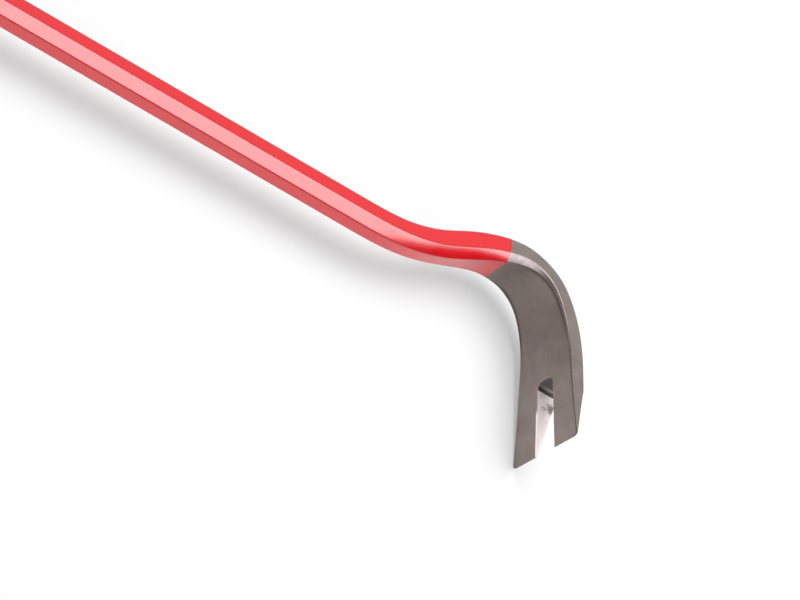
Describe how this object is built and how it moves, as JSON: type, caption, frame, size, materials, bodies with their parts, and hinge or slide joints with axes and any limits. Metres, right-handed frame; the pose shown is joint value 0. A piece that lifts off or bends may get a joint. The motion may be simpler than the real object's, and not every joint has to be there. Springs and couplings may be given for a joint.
{
  "type": "wrecking bar",
  "caption": "Octagonal steel wrecking bar with a painted shank, a right-angled slotted nail claw and a straight chisel end.",
  "frame": {"origin": "bottom centre of the bounding box, with the bar lying on its side", "axes": "+X along the straight shank towards the claw, +Z square to the plane that the bar is bent in, and the hook curls towards -Y"},
  "size_m": [0.6, 0.1119, 0.0463],
  "materials": {
    "bare_steel": "forged and belt-ground carbon steel, satin grey-brown, brighter on the ground slot walls and edges",
    "red_enamel": "glossy red enamel over octagonal steel, slightly rounded over the corners"
  },
  "bodies": {
    "root": {"forged_bar": "bare_steel", "paint_coat": "red_enamel"}
  },
  "joints": []
}
